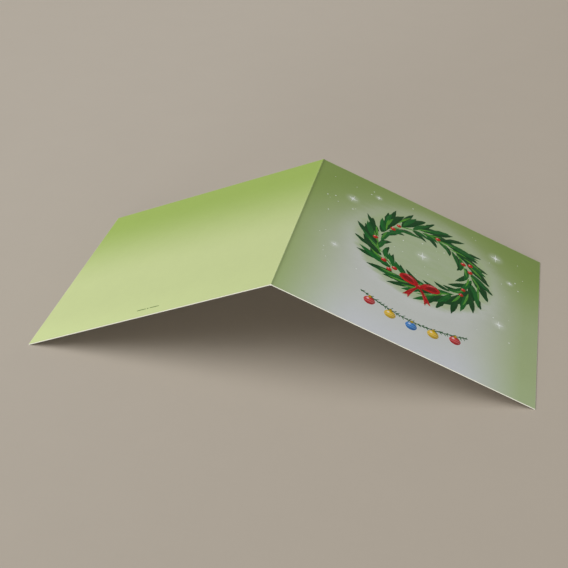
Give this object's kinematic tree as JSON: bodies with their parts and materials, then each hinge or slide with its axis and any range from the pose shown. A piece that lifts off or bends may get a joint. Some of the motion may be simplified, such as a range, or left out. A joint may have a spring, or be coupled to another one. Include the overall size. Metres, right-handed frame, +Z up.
{
  "type": "greeting card",
  "caption": "Square folded greeting card of printed board, standing as a low tent on its fore-edges with the scored fold on top and a white inside.",
  "frame": {"origin": "on the resting plane, under the middle of the fold, halfway between foot and head", "axes": "+X across the fold towards the front cover's fore-edge, +Y along the fold towards the head of the print, +Z up"},
  "size_m": [0.2736, 0.148, 0.0572],
  "materials": {
    "printed_board": "satin print in soft greens outside, plain matte white inside and along the cut edges"
  },
  "bodies": {
    "root": {"greeting_card": "printed_board"}
  },
  "joints": []
}
